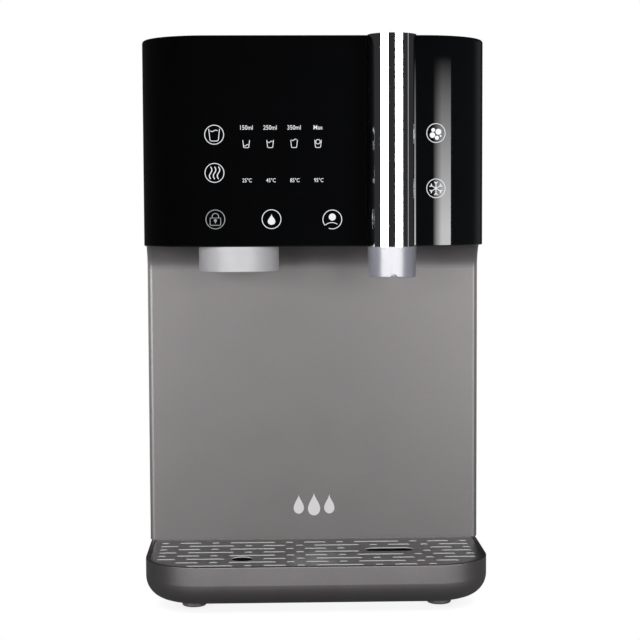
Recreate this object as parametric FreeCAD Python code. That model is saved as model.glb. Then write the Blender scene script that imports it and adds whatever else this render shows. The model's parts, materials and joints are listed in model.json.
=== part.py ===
"""Countertop water dispenser: hot, cold and sparkling water, fed from a water line.

Millimetres. +Z is up, the front faces -Y, and the origin is the middle of the footprint on the
counter. Each function below makes one separate piece of the appliance.
"""
import FreeCAD, Part
import math
import os

V = FreeCAD.Vector
X_AXIS = V(1, 0, 0)
Y_AXIS = V(0, 1, 0)
Z_AXIS = V(0, 0, 1)

# ---- Driving dimensions ------------------------------------------------------------------
DEPTH = 430.0              # front of the base to the wall bumpers
BODY_HALF = 135.0          # half the cabinet's width
HEAD_HALF = 135.5          # half the head's width
BASE_HALF = 134.0          # half the base's width
TOP = 442.0                # top of the head and of the cabinet
HEAD_UNDER = 280.0         # underside of the head
BASE_TOP = 37.5            # rim of the base
BASE_BOTTOM = 6.0          # underside of the base; the feet fill the space below it
TRAY_REACH = 108.0         # base ahead of the cabinet's front
HEAD_REACH = 73.0          # head ahead of the cabinet's front
BUMPER_REACH = 7.0         # wall bumpers behind the rear panel

FRONT = -DEPTH / 2                     # front of the base
BODY_FRONT = FRONT + TRAY_REACH        # front face of the cabinet
HEAD_FRONT = BODY_FRONT - HEAD_REACH   # front face of the head
REAR_FACE = DEPTH / 2 - BUMPER_REACH   # outer face of the rear panel
HEAD_REAR = BODY_FRONT + 47.0          # where the head shell meets the side panels

BASE_CORNER = 45.0         # front corner radius of the base, seen from above
HEAD_CORNER = 52.0         # front corner radius of the head, seen from above
REAR_CORNER = 20.0         # rear corner radius of the base and cabinet
BODY_CORNER = 4.0          # front corner radius of the cabinet
BASE_ROUND = 17.0          # rounding of the base's bottom edge
COVE = 20.0                # hollow curve from the cabinet's front into the head
PANEL = 2.5                # cabinet panel thickness
WALL = 3.0                 # head and base wall thickness
FIT_GAP = 0.3              # gap beside pieces that lift, slide or turn

SIDE_RETURN = 12.0         # how far the front panel wraps round the cabinet's sides
REAR_RETURN = 23.0         # how far the rear panel wraps round the cabinet's sides

# Spouts
COLUMN_X = 59.3
COLUMN_Y = HEAD_FRONT
COLUMN_R = 18.8
COLUMN_WALL = 1.5
NOZZLE_BOTTOM = 256.5
NOZZLE_BORE = 10.0
NOTCH_R = 3.0              # small notch in the front of the sleeve's bottom edge
SPOUT_R = 6.0
SPOUT_BORE = 4.4
GUARD_X = -59.6
GUARD_Y = BODY_FRONT - 42.0
GUARD_R = 31.5
GUARD_WALL = 2.6
GUARD_BOTTOM = 260.5
HOT_SPOUT_R = 9.0
HOT_SPOUT_BORE = 4.0

# Drip tray
GRILLE_THICK = 0.8
GRILLE_TOP = 37.0
GRILLE_GAP = 0.6
SLOT_WIDTH = 4.5
SLOT_ROWS = 8
ROW_PITCH = 12.3
FIRST_ROW = BODY_FRONT - 14.5
SHORT_SLOT = 6.6
MID_SLOT = 18.0
LONG_SLOT = 37.0
SLOT_GAP = 8.2
ROW_HALF = 124.8
ODD_ROW = (SHORT_SLOT, MID_SLOT, SHORT_SLOT, LONG_SLOT, SHORT_SLOT, MID_SLOT,
           SHORT_SLOT, LONG_SLOT, SHORT_SLOT, MID_SLOT, SHORT_SLOT)
EVEN_ROW = (14.5, LONG_SLOT, SHORT_SLOT, MID_SLOT, SHORT_SLOT, LONG_SLOT,
            SHORT_SLOT, MID_SLOT, SHORT_SLOT, 24.5)
DRAIN_HOLE = (-58.5, BODY_FRONT - 75.5, 8.5)            # x, y, radius
FINGER_SLOT = (58.7, BODY_FRONT - 45.3, 39.0, 14.0)     # x, y, length, width
BASIN_FLOOR = 10.0
BASIN_TOP = GRILLE_TOP - GRILLE_THICK - 0.2
BASIN_WALL = 1.5

# Feet
FOOT_R = 9.5
FOOT_SPOTS = ((-96, BODY_FRONT - 71), (96, BODY_FRONT - 71), (-100, 172), (100, 172))

# Vents, louvres and screws of the cabinet
VENT_COUNT = 9
VENT_PITCH = 14.0
FIRST_VENT_Y = 52.0
VENT_R = 2.0
VENT_TOP = 128.0
LEFT_VENT_LOW = 74.0
RIGHT_VENT_LOW = 60.0
LOUVRE_COUNT = 9
LOUVRE_PITCH = 11.0
LOUVRE_HEIGHT = 4.5
LOUVRE_HALF = 47.0
FIRST_LOUVRE_Z = 50.0
SCREW_R = 3.2
SCREW_SPOTS = ((-122, 60), (122, 60), (-122, 425), (122, 425), (0, 60), (0, 158))

# Inside the cabinet
SHEET = 1.5                            # sheet steel of the frame, pan and bracket
PAN_Z = BASE_BOTTOM + WALL             # floor of the base
PAN_TOP = PAN_Z + SHEET                # top of the steel pan on that floor
SHELF_Z = 150.0
DECK = SHELF_Z + SHEET                 # top of the machine deck
FRAME_HALF = 128.0
FRAME_FRONT = -92.0
FRAME_REAR = 195.0
RAIL_TOP = HEAD_UNDER - 2.0            # top of the front posts and of the side rails
RAIL_DEPTH = 12.0
POST = 12.0                            # leg of the frame's angle posts
POST_FOOT_Z = 19.0                     # the posts stand above the base's rounded corners
POST_FOOT_X = 110.0                    # inner end of each post's foot
BOARD = 1.6                            # thickness of a circuit board
PORT_R = 4.0                           # hose spigots on tanks, pump and manifold

# Rear door and its hinge
DOOR_HALF = 112.0
DOOR_LOW = 168.0
DOOR_HIGH = 424.0
DOOR_GAP = 0.6
HINGE_X = -DOOR_HALF
HINGE_Y = REAR_FACE + 3.5
HINGE_R = 3.2
PIN_R = 1.5
PIN_CLEARANCE = 0.05
KNUCKLE = 14.0
HINGE_SPOTS = (200.0, 392.0)           # middle height of each hinge
DOOR_RIB = 5.0                         # depth of the rib frame behind the door's skin
RIB_INSET = 8.0                        # from the door opening's edge to the rib frame
RIB_WALL = 2.0
LATCH = (92.0, 296.0)                  # x, z
LATCH_SHAFT_R = 4.0
CAM_FRONT = REAR_FACE - PANEL - DOOR_RIB - 3.1    # the cam sweeps behind the door's rib frame

# Services on the rear panel, each as x, z
POWER = (-94.0, 63.0)
SWITCH = (-54.0, 63.0)
WATER = (-94.0, 122.0)
DRAIN = (-54.0, 122.0)
BUMPER = (107.0, 153.0)                 # on both sides of the middle
WATER_LINE_R = 3.25
BUNG_R = 4.0

# Refrigeration, heat, gas and filter
COMPRESSOR = (-66.0, 118.0, 46.0)      # x, y, radius
COMPRESSOR_PLATE_Z = 21.0
FAN = (60.0, 90.0, 46.0)               # x, z, rotor radius
FAN_HUB = 15.0
FAN_AXLE = 2.0
FAN_BLADES = 7
FAN_Y = 150.0
CONDENSER_Y = 176.0
CONDENSER_HALF = 54.0
CONDENSER_DEPTH = 22.0
FINS = 21
FIN_PITCH = 5.0
COLD = (-66.0, 9.0, 42.0)              # x, y, tank radius
COIL_TURNS = 8
COIL_PITCH = 16.0
CARBONATOR = (38.0, -50.0, 30.0)
HEATER = (92.0, -20.0)                 # x, y
FILTER = (66.0, 146.0, 34.0)
FILTER_TOP = 376.0                     # underside of the filter head
FILTER_NECK = 18.0
CO2 = (-66.0, 146.0, 30.0)
CO2_NECK = 9.0
PUMP_X = 34.0
MANIFOLD = (38.0, -71.0, 31.0)         # x of the first valve, y, pitch


# ---- Helpers -----------------------------------------------------------------------------
def box(x0, y0, z0, x1, y1, z1):
    return Part.makeBox(x1 - x0, y1 - y0, z1 - z0, V(x0, y0, z0))


def centred_box(x, y, z0, width, depth, height):
    return box(x - width / 2, y - depth / 2, z0, x + width / 2, y + depth / 2, z0 + height)


def rod(radius, start, length, axis=Z_AXIS):
    return Part.makeCylinder(radius, length, V(*start), axis)


def tube(outer, inner, start, length, axis=Z_AXIS):
    margin = axis * 1.0
    hole = Part.makeCylinder(inner, length + 2, V(*start) - margin, axis)
    return rod(outer, start, length, axis).cut(hole)


def union(shapes):
    return shapes[0].multiFuse(shapes[1:]).removeSplitter()


def without(shape, cutters):
    return shape.cut(Part.makeCompound(cutters)) if cutters else shape


def prism(points, direction):
    """Extrude a closed outline of straight sides."""
    outline = Part.makePolygon([V(*p) for p in points] + [V(*points[0])])
    return Part.Face(outline).extrude(direction)


def plan(half, front, rear, front_corner, rear_corner, low, high):
    """Upright block whose four vertical corners are rounded."""
    block = box(-half, front, low, half, rear, high)
    for radius, y in ((front_corner, front), (rear_corner, rear)):
        corners = [edge for edge in block.Edges
                   if abs(edge.Vertexes[0].Y - y) < 0.01 and abs(edge.Vertexes[-1].Y - y) < 0.01
                   and abs(edge.Vertexes[0].Z - edge.Vertexes[-1].Z) > 0.1]
        if radius > 0:
            block = block.makeFillet(radius, corners)
    return block


def edges_at(shape, height, rear_limit=None):
    """Edges that lie at one height, ahead of rear_limit if it is given."""
    found = []
    for edge in shape.Edges:
        bounds = edge.BoundBox
        if abs(bounds.ZMin - height) > 0.01 or abs(bounds.ZMax - height) > 0.01:
            continue
        if rear_limit is not None and bounds.YMin > rear_limit:
            continue
        found.append(edge)
    return found


def soften(shape, radius, heights):
    """Round the horizontal edges at the given heights."""
    for height in heights:
        shape = shape.makeFillet(radius, edges_at(shape, height))
    return shape


def round_can(x, y, radius, low, high, shoulder):
    return soften(rod(radius, (x, y, low), high - low), shoulder, (low, high))


def stadium(x, y, low, high, length, width):
    """Upright slot cutter that runs along X with round ends."""
    radius = width / 2
    reach = length / 2 - radius
    ends = [rod(radius, (x + side * reach, y, low), high - low) for side in (-1, 1)]
    return union([centred_box(x, y, low, 2 * reach, width, high - low)] + ends)


def rounded_box(x0, y0, z0, x1, y1, z1, radius):
    block = box(x0, y0, z0, x1, y1, z1)
    upright = [e for e in block.Edges if abs(e.Vertexes[0].Z - e.Vertexes[-1].Z) > 1]
    return block.makeFillet(radius, upright)


def hose(points, outer, inner, bend):
    """Hose of straight runs joined by tangent arcs, checked against its length."""
    corners = [V(*p) for p in points]
    edges = []
    here = corners[0]
    for before, corner, after in zip(corners, corners[1:], corners[2:]):
        arriving = (corner - before).normalize()
        leaving = (after - corner).normalize()
        half_turn = arriving.getAngle(leaving) / 2
        setback = bend * math.tan(half_turn)
        start = corner - arriving * setback
        end = corner + leaving * setback
        inward = (leaving - arriving).normalize()
        middle = corner + inward * (bend / math.cos(half_turn) - bend)
        edges.append(Part.LineSegment(here, start).toShape())
        edges.append(Part.Arc(start, middle, end).toShape())
        here = end
    edges.append(Part.LineSegment(here, corners[-1]).toShape())
    path = Part.Wire(edges)
    direction = corners[1] - corners[0]
    sweeps = []
    for radius in (outer, inner):
        section = Part.Wire(Part.makeCircle(radius, corners[0], direction))
        sweeps.append(path.makePipeShell([section], True, False))
    hollow = sweeps[0].cut(sweeps[1])
    expected = math.pi * (outer ** 2 - inner ** 2) * path.Length
    print("hose volume / section x length = %.4f" % (hollow.Volume / expected))
    return hollow


def rear_disc(spot, radius, start, thick, softness):
    """Round boss that faces backward, its outer edge softened."""
    disc = rod(radius, (spot[0], start, spot[1]), thick, Y_AXIS)
    rim = [edge for edge in disc.Edges if edge.BoundBox.YMin > start + thick - 0.01]
    return disc.makeFillet(softness, rim)


def rear_block(spot, half_width, half_height, start, end):
    """Block about a service's middle, from start to end along the depth."""
    x, z = spot
    return box(x - half_width, start, z - half_height, x + half_width, end, z + half_height)


def rear_flange(spot, half_width, half_height, thick):
    """Plate on the rear panel with round corners and a softened outer edge."""
    plate = rear_block(spot, half_width, half_height, REAR_FACE, REAR_FACE + thick)
    corners = [edge for edge in plate.Edges if edge.BoundBox.YLength > thick / 2]
    plate = plate.makeFillet(3.0, corners)
    rim = [edge for edge in plate.Edges if edge.BoundBox.YMin > REAR_FACE + thick - 0.01]
    return plate.makeFillet(0.5, rim)


# ---- Casing ------------------------------------------------------------------------------
def base_shell():
    """Base with the drip-tray well in front and the machine floor behind."""
    outer = plan(BASE_HALF, FRONT, REAR_FACE, BASE_CORNER, REAR_CORNER, BASE_BOTTOM, BASE_TOP)
    outer = outer.makeFillet(BASE_ROUND, edges_at(outer, BASE_BOTTOM))
    outer = outer.makeFillet(0.8, edges_at(outer, BASE_TOP))
    inner = plan(BASE_HALF - WALL, FRONT + WALL, REAR_FACE - WALL, BASE_CORNER - WALL,
                 REAR_CORNER - WALL, PAN_Z, BASE_TOP + 1)
    inner = inner.makeFillet(BASE_ROUND - WALL, edges_at(inner, PAN_Z))
    shell = outer.cut(inner)
    wall = box(-BASE_HALF + 1, BODY_FRONT, PAN_Z - 1, BASE_HALF - 1, BODY_FRONT + WALL, BASE_TOP)
    wall = wall.common(outer)
    return union([shell, wall])


def feet():
    return Part.makeCompound([foot(x, y) for x, y in FOOT_SPOTS])


def foot(x, y):
    return soften(rod(FOOT_R, (x, y, 0), BASE_BOTTOM), 1.5, (0.0,))


def front_profile(offset, low, high, rear):
    """Side view of the cabinet's front, with the cove into the head, extruded across X."""
    face_y = BODY_FRONT + offset
    centre = V(0, BODY_FRONT - COVE, HEAD_UNDER - COVE)
    radius = COVE + offset
    rise = math.asin(min(1.0, COVE / radius))
    top = centre + V(0, radius * math.cos(rise), radius * math.sin(rise))
    middle = centre + V(0, radius * math.cos(rise / 2), radius * math.sin(rise / 2))
    start = V(0, face_y, centre.z)
    edges = [
        Part.LineSegment(V(0, face_y, low), start).toShape(),
        Part.Arc(start, middle, top).toShape(),
    ]
    corner = top
    if high - top.z > 0.01:
        corner = V(0, top.y, high)
        edges.append(Part.LineSegment(top, corner).toShape())
    edges.append(Part.LineSegment(corner, V(0, rear, high)).toShape())
    edges.append(Part.LineSegment(V(0, rear, high), V(0, rear, low)).toShape())
    edges.append(Part.LineSegment(V(0, rear, low), V(0, face_y, low)).toShape())
    return Part.Face(Part.Wire(edges))


def front_panel():
    """Front face of the cabinet, curving forward under the head."""
    rear = BODY_FRONT + SIDE_RETURN
    outer = front_profile(0, BASE_TOP, HEAD_UNDER, rear).extrude(X_AXIS * 2 * BODY_HALF)
    outer.translate(V(-BODY_HALF, 0, 0))
    front_edges = []
    for edge in outer.Edges:
        bounds = edge.BoundBox
        upright = bounds.ZLength > 5 and bounds.XLength < 0.01
        if upright and bounds.YMax < BODY_FRONT + 0.01:
            front_edges.append(edge)
    outer = outer.makeFillet(BODY_CORNER, front_edges)
    inner = front_profile(PANEL, BASE_TOP - 1, HEAD_UNDER + 1, rear + 1)
    inner = inner.extrude(X_AXIS * 2 * (BODY_HALF - PANEL))
    inner.translate(V(PANEL - BODY_HALF, 0, 0))
    return outer.cut(inner)


def side_outline(offset):
    """Side panel outline: stepped back above the underside of the head."""
    front = BODY_FRONT + SIDE_RETURN
    rear = REAR_FACE - REAR_RETURN
    top = TOP - WALL
    return [(offset, front, BASE_TOP), (offset, front, HEAD_UNDER),
            (offset, HEAD_REAR, HEAD_UNDER), (offset, HEAD_REAR, top),
            (offset, rear, top), (offset, rear, BASE_TOP)]


def side_panel(side):
    start = BODY_HALF - PANEL if side > 0 else -BODY_HALF
    panel = prism(side_outline(start), X_AXIS * PANEL)
    low = RIGHT_VENT_LOW if side > 0 else LEFT_VENT_LOW
    vents = []
    for index in range(VENT_COUNT):
        y = FIRST_VENT_Y + index * VENT_PITCH
        vent = box(start - 1, y - VENT_R, low, start + PANEL + 1, y + VENT_R, VENT_TOP)
        ends = [rod(VENT_R, (start - 1, y, z), PANEL + 2, X_AXIS) for z in (low, VENT_TOP)]
        vents.append(union([vent] + ends))
    return without(panel, vents)


def side_panel_left():
    return side_panel(-1)


def side_panel_right():
    return side_panel(1)


def rear_panel():
    """Rear panel with wrapped corners, the door opening, louvres and service cut-outs."""
    low, high = BASE_TOP, TOP - WALL
    front = REAR_FACE - REAR_RETURN
    outer = plan(BODY_HALF, front, REAR_FACE, 0, REAR_CORNER, low, high)
    inner = plan(BODY_HALF - PANEL, front - 1, REAR_FACE - PANEL, 0, REAR_CORNER - PANEL,
                 low - 1, high + 1)
    through = (REAR_FACE - PANEL - 1, REAR_FACE + 1)
    cutters = [box(-DOOR_HALF, through[0], DOOR_LOW, DOOR_HALF, through[1], DOOR_HIGH)]
    for index in range(LOUVRE_COUNT):
        z = FIRST_LOUVRE_Z + index * LOUVRE_PITCH
        cutters.append(box(FAN[0] - LOUVRE_HALF, through[0], z,
                           FAN[0] + LOUVRE_HALF, through[1], z + LOUVRE_HEIGHT))
    for spot, half_width in ((POWER, 17), (SWITCH, 10)):
        cutters.append(rear_block(spot, half_width, 13, *through))
    for (x, z), radius in ((WATER, 9.3), (DRAIN, 6.3)):
        cutters.append(rod(radius, (x, through[0], z), 5, Y_AXIS))
    shell = without(outer.cut(inner), cutters)
    knuckles = [hinge_leaf(z, -1) for z in HINGE_SPOTS]
    return union([shell] + knuckles)


def hinge_leaf(middle, side):
    """One half of a door hinge: the frame's half is below the door's half."""
    low = middle - KNUCKLE if side < 0 else middle + FIT_GAP
    barrel = rod(HINGE_R, (HINGE_X, HINGE_Y, low), KNUCKLE)
    near = HINGE_X + side * 0.4
    far = HINGE_X + side * 9.0
    leaf = box(min(near, far), REAR_FACE, low, max(near, far), REAR_FACE + 1.5, low + KNUCKLE)
    bore = rod(PIN_R + PIN_CLEARANCE, (HINGE_X, HINGE_Y, low - 1), KNUCKLE + 2)
    return union([barrel, leaf]).cut(bore)


def rear_door():
    """Service door over the filter and the gas cylinder, with a stiffening rib frame."""
    skin = box(-DOOR_HALF + DOOR_GAP, REAR_FACE - PANEL, DOOR_LOW + DOOR_GAP,
               DOOR_HALF - DOOR_GAP, REAR_FACE, DOOR_HIGH - DOOR_GAP)
    rib_half = DOOR_HALF - RIB_INSET
    low = DOOR_LOW + RIB_INSET
    high = DOOR_HIGH - RIB_INSET
    inner = REAR_FACE - PANEL
    rib_out = box(-rib_half, inner - DOOR_RIB, low, rib_half, inner, high)
    rib_in = box(RIB_WALL - rib_half, inner - DOOR_RIB - 1, low + RIB_WALL,
                 rib_half - RIB_WALL, inner + 1, high - RIB_WALL)
    shaft_hole = rod(LATCH_SHAFT_R + PIN_CLEARANCE, (LATCH[0], REAR_FACE - 10, LATCH[1]), 20, Y_AXIS)
    door = union([skin, rib_out.cut(rib_in.cut(skin))] + [hinge_leaf(z, 1) for z in HINGE_SPOTS])
    return door.cut(shaft_hole)


def door_hinge_pins():
    pins = []
    for middle in HINGE_SPOTS:
        shank = rod(PIN_R, (HINGE_X, HINGE_Y, middle - KNUCKLE - 1), 2 * KNUCKLE + 2)
        head = rod(HINGE_R - 0.6, (HINGE_X, HINGE_Y, middle - KNUCKLE - 2), 1.6)
        pins.append(union([shank, head]))
    return Part.makeCompound(pins)


def door_latch():
    """Thumb-turn, shaft and cam; the cam hangs clear of the frame while unlocked."""
    x, z = LATCH
    knob = rear_disc(LATCH, 10, REAR_FACE + FIT_GAP, 2.2, 0.6)
    wing = rear_block(LATCH, 2, 8.5, REAR_FACE + 2.4, REAR_FACE + 6.2)
    wing = wing.makeFillet(0.8, [edge for edge in wing.Edges
                                 if edge.BoundBox.YMax > REAR_FACE + 6.19])
    shaft = rod(LATCH_SHAFT_R, (x, CAM_FRONT, z), REAR_FACE + 1 - CAM_FRONT, Y_AXIS)
    cam = box(x - 4, CAM_FRONT, z - 26, x + 4, CAM_FRONT + 2.2, z)
    return union([knob, wing, shaft, cam])


def wall_bumpers():
    bumpers = []
    for side in (-1, 1):
        spot = (side * BUMPER[0], BUMPER[1])
        pad = rear_disc(spot, 7, REAR_FACE, BUMPER_REACH, 1.5)
        bumpers.append(pad.cut(rod(3.2, (spot[0], REAR_FACE + 4, spot[1]), 4, Y_AXIS)))
    return Part.makeCompound(bumpers)


def top_cover():
    """Lid of the cabinet behind the head, with a rounded outer edge."""
    lid = plan(BODY_HALF, HEAD_REAR, REAR_FACE, 0, REAR_CORNER, TOP - WALL, TOP)
    rounded = []
    for edge in edges_at(lid, TOP):
        if edge.BoundBox.YMax > HEAD_REAR + 0.01:
            rounded.append(edge)
    lid = lid.makeFillet(2.2, rounded)
    lip_out = plan(BODY_HALF - PANEL - FIT_GAP, HEAD_REAR + 4, REAR_FACE - PANEL - FIT_GAP, 0,
                   REAR_CORNER - PANEL, TOP - WALL - 6, TOP - WALL)
    lip_in = plan(BODY_HALF - PANEL - 2.5, HEAD_REAR + 6, REAR_FACE - PANEL - 2.5, 0,
                  REAR_CORNER - PANEL - 2, TOP - WALL - 7, TOP - WALL)
    return union([lid, lip_out.cut(lip_in)])


def screws_rear():
    """Slotted pan heads that hold the rear panel."""
    screws = []
    for spot in SCREW_SPOTS:
        head = rear_disc(spot, SCREW_R, REAR_FACE, 1.6, 0.5)
        recess = rear_block(spot, 0.45, SCREW_R + 1, REAR_FACE + 0.8, REAR_FACE + 2)
        screws.append(head.cut(recess))
    return Part.makeCompound(screws)


# ---- Head --------------------------------------------------------------------------------
def head_block(inset, low, high, rear):
    """The head's outline from above, moved inward by inset."""
    return plan(HEAD_HALF - inset, HEAD_FRONT + inset, rear, HEAD_CORNER - inset, 0, low, high)


def column_space(gap, low, high):
    return rod(COLUMN_R + gap, (COLUMN_X, COLUMN_Y, low), high - low)


def head_shell():
    """Glossy touch panel that wraps the front, the sides and the top of the head."""
    outer = head_block(0, HEAD_UNDER, TOP, HEAD_REAR)
    top_edges = [e for e in edges_at(outer, TOP) if e.BoundBox.YMin < HEAD_REAR - 0.01]
    outer = outer.makeFillet(2.4, top_edges)
    low_edges = [e for e in edges_at(outer, HEAD_UNDER) if e.BoundBox.YMin < HEAD_REAR - 0.01]
    outer = outer.makeFillet(0.8, low_edges)
    hollow = head_block(WALL, HEAD_UNDER - 1, TOP - WALL, HEAD_REAR + 1)
    return outer.cut(hollow).cut(column_space(0.2, HEAD_UNDER - 1, TOP + 1))


def head_underside():
    """Floor of the head, with the openings for both spouts."""
    floor = head_block(WALL + 0.1, HEAD_UNDER, HEAD_UNDER + WALL, HEAD_REAR)
    holes = [column_space(0.2, HEAD_UNDER - 1, HEAD_UNDER + WALL + 1),
             rod(HOT_SPOUT_R + 0.1, (GUARD_X, GUARD_Y, HEAD_UNDER - 1), WALL + 2)]
    return without(floor, holes)


def spout_column():
    return tube(COLUMN_R, COLUMN_R - COLUMN_WALL, (COLUMN_X, COLUMN_Y, HEAD_UNDER),
                TOP - HEAD_UNDER)


def column_cap():
    cap = rod(COLUMN_R - COLUMN_WALL, (COLUMN_X, COLUMN_Y, TOP - 4), 3.4)
    return cap.makeFillet(0.6, edges_at(cap, TOP - 0.6))


def cold_spout():
    """Inner water tube of the chrome column, held by two discs."""
    pipe = rod(SPOUT_R, (COLUMN_X, COLUMN_Y, NOZZLE_BOTTOM + 2), TOP - 10 - NOZZLE_BOTTOM)
    discs = [rod(COLUMN_R - COLUMN_WALL, (COLUMN_X, COLUMN_Y, z), 3)
             for z in (HEAD_UNDER + 1, TOP - 60)]
    bore = rod(SPOUT_BORE, (COLUMN_X, COLUMN_Y, NOZZLE_BOTTOM + 1), TOP - NOZZLE_BOTTOM)
    return union([pipe] + discs).cut(bore)


def nozzle_sleeve():
    """Frosted sleeve that glows round the outlet and pulls off for cleaning."""
    height = HEAD_UNDER - NOZZLE_BOTTOM
    sleeve = Part.makeCone(COLUMN_R - 0.4, COLUMN_R, height, V(COLUMN_X, COLUMN_Y, NOZZLE_BOTTOM))
    sleeve = sleeve.makeFillet(0.8, edges_at(sleeve, NOZZLE_BOTTOM))
    bore = rod(NOZZLE_BORE, (COLUMN_X, COLUMN_Y, NOZZLE_BOTTOM - 1), height + 2)
    notch = rod(NOTCH_R, (COLUMN_X, COLUMN_Y - COLUMN_R - 1, NOZZLE_BOTTOM - 0.4), COLUMN_R, Y_AXIS)
    return without(sleeve, [bore, notch])


def spout_guard():
    """Frosted splash guard round the hot spout, open below and trimmed to the cove behind."""
    height = HEAD_UNDER - GUARD_BOTTOM
    ring = rod(GUARD_R, (GUARD_X, GUARD_Y, GUARD_BOTTOM), height)
    ring = ring.makeFillet(0.7, edges_at(ring, GUARD_BOTTOM))
    hollow = rod(GUARD_R - GUARD_WALL, (GUARD_X, GUARD_Y, GUARD_BOTTOM - 1), height - 1)
    collar = rod(HOT_SPOUT_R + FIT_GAP, (GUARD_X, GUARD_Y, GUARD_BOTTOM), height + 1)
    behind = front_profile(-0.6, GUARD_BOTTOM - 5, HEAD_UNDER + 1, BODY_FRONT + SIDE_RETURN)
    behind = behind.extrude(X_AXIS * 2 * BODY_HALF)
    behind.translate(V(-BODY_HALF, 0, 0))
    return without(ring, [hollow, collar, behind])


def hot_spout():
    pipe = rod(HOT_SPOUT_R, (GUARD_X, GUARD_Y, GUARD_BOTTOM + 3), 60)
    pipe = pipe.makeFillet(1.5, edges_at(pipe, GUARD_BOTTOM + 3))
    flange = rod(HOT_SPOUT_R + 6, (GUARD_X, GUARD_Y, HEAD_UNDER + WALL), 4)
    bore = rod(HOT_SPOUT_BORE, (GUARD_X, GUARD_Y, GUARD_BOTTOM), 70)
    return union([pipe, flange]).cut(bore)


def touch_board(x0, x1, setback):
    """Touch sensor board with its light wells, standing behind the front of the head."""
    front = HEAD_FRONT + WALL + setback
    frame_thick = 4.0
    low, high = HEAD_UNDER + 12, HEAD_UNDER + 100
    frame = box(x0, front, low, x1, front + frame_thick, high)
    board = box(x0, front + frame_thick, low, x1, front + frame_thick + BOARD, high)
    wells = []
    columns = max(1, int((x1 - x0) / 28))
    pitch = (x1 - x0) / columns
    for column in range(columns):
        for row in range(3):
            x = x0 + (column + 0.5) * pitch
            wells.append(rod(8, (x, front - 1, low + 16 + row * 30), 6, Y_AXIS))
    return union([board, without(frame, wells)])


def touch_board_left():
    return touch_board(-82, 32, 0.4)


def touch_board_right():
    return touch_board(81, 104, 5.2)


def head_bracket():
    """Steel bracket that carries the head from the inner frame."""
    z = HEAD_UNDER + WALL
    half = 118.0
    rear = HEAD_REAR + 6
    floor = box(-half, HEAD_REAR - 74, z, half, rear, z + SHEET)
    upright = box(-half, rear - SHEET, z, half, rear, z + 60)
    holes = [rod(HOT_SPOUT_R + 7, (GUARD_X, GUARD_Y, z - 1), 4),
             column_space(2, z - 1, z + 3)]
    for x, width in ((-75, 50), (0, 60), (75, 50)):
        holes.append(centred_box(x, rear - 1, z + 20, width, 6, 30))
    return without(union([floor, upright]), holes)


# ---- Drip tray ---------------------------------------------------------------------------
def row_limit(y):
    """How far from the middle a slot may reach, which shrinks at the rounded corners."""
    corner = BASE_CORNER - WALL - GRILLE_GAP
    centre_y = FRONT + BASE_CORNER
    margin = 2.0
    if y > centre_y:
        return ROW_HALF
    reach = math.sqrt(max(0.0, (corner - margin) ** 2 - (centre_y - y) ** 2))
    return min(ROW_HALF, BASE_HALF - BASE_CORNER + reach)


def row_slots(y, lengths):
    """Start and end of each slot in one row, trimmed at the corners and round the holes."""
    limit = row_limit(y)
    blocked = []
    for x, hole_y, half_x, half_y in ((DRAIN_HOLE[0], DRAIN_HOLE[1], DRAIN_HOLE[2],
                                       DRAIN_HOLE[2]),
                                      (FINGER_SLOT[0], FINGER_SLOT[1], FINGER_SLOT[2] / 2,
                                       FINGER_SLOT[3] / 2)):
        if abs(y - hole_y) < half_y + 1.0:
            blocked.append((x - half_x - 5.0, x + half_x + 5.0))
    slots = []
    x = -ROW_HALF
    for length in lengths:
        start = max(x, -limit)
        end = min(x + length, limit)
        for low, high in blocked:
            if start < low < end:
                end = low
            if low <= start and start < high:
                start = high
        if end - start >= SHORT_SLOT - 0.5:
            slots.append((start, end))
        x += length + SLOT_GAP
    return slots


def drip_grille():
    """Thin steel plate with staggered rows of slots, a drain hole and a finger slot."""
    inset = WALL + GRILLE_GAP
    low = GRILLE_TOP - GRILLE_THICK
    plate = plan(BASE_HALF - inset, FRONT + inset, BODY_FRONT - GRILLE_GAP,
                 BASE_CORNER - inset, 3, low, GRILLE_TOP)
    cutters = []
    for row in range(SLOT_ROWS):
        y = FIRST_ROW - row * ROW_PITCH
        lengths = EVEN_ROW if row % 2 else ODD_ROW
        for start, end in row_slots(y, lengths):
            cutters.append(stadium((start + end) / 2, y, low - 1, GRILLE_TOP + 1,
                                   end - start, SLOT_WIDTH))
    cutters.append(rod(DRAIN_HOLE[2], (DRAIN_HOLE[0], DRAIN_HOLE[1], low - 1), 3))
    cutters.append(stadium(FINGER_SLOT[0], FINGER_SLOT[1], low - 1, GRILLE_TOP + 1,
                           FINGER_SLOT[2], FINGER_SLOT[3]))
    return without(plate, cutters)


def drip_basin():
    """Removable basin under the grille."""
    inset = WALL + 0.5
    outer = plan(BASE_HALF - inset, FRONT + inset, BODY_FRONT - 0.5, BASE_CORNER - inset, 3,
                 BASIN_FLOOR, BASIN_TOP)
    outer = outer.makeFillet(14.5, [e for e in edges_at(outer, BASIN_FLOOR)
                                    if e.BoundBox.YMax < BODY_FRONT - 3])
    inner = plan(BASE_HALF - inset - BASIN_WALL, FRONT + inset + BASIN_WALL,
                 BODY_FRONT - 0.5 - BASIN_WALL, BASE_CORNER - inset - BASIN_WALL, 1.5,
                 BASIN_FLOOR + BASIN_WALL, BASIN_TOP + 1)
    inner = inner.makeFillet(13, [e for e in edges_at(inner, BASIN_FLOOR + BASIN_WALL)
                                  if e.BoundBox.YMax < BODY_FRONT - 3])
    return outer.cut(inner)


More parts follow.
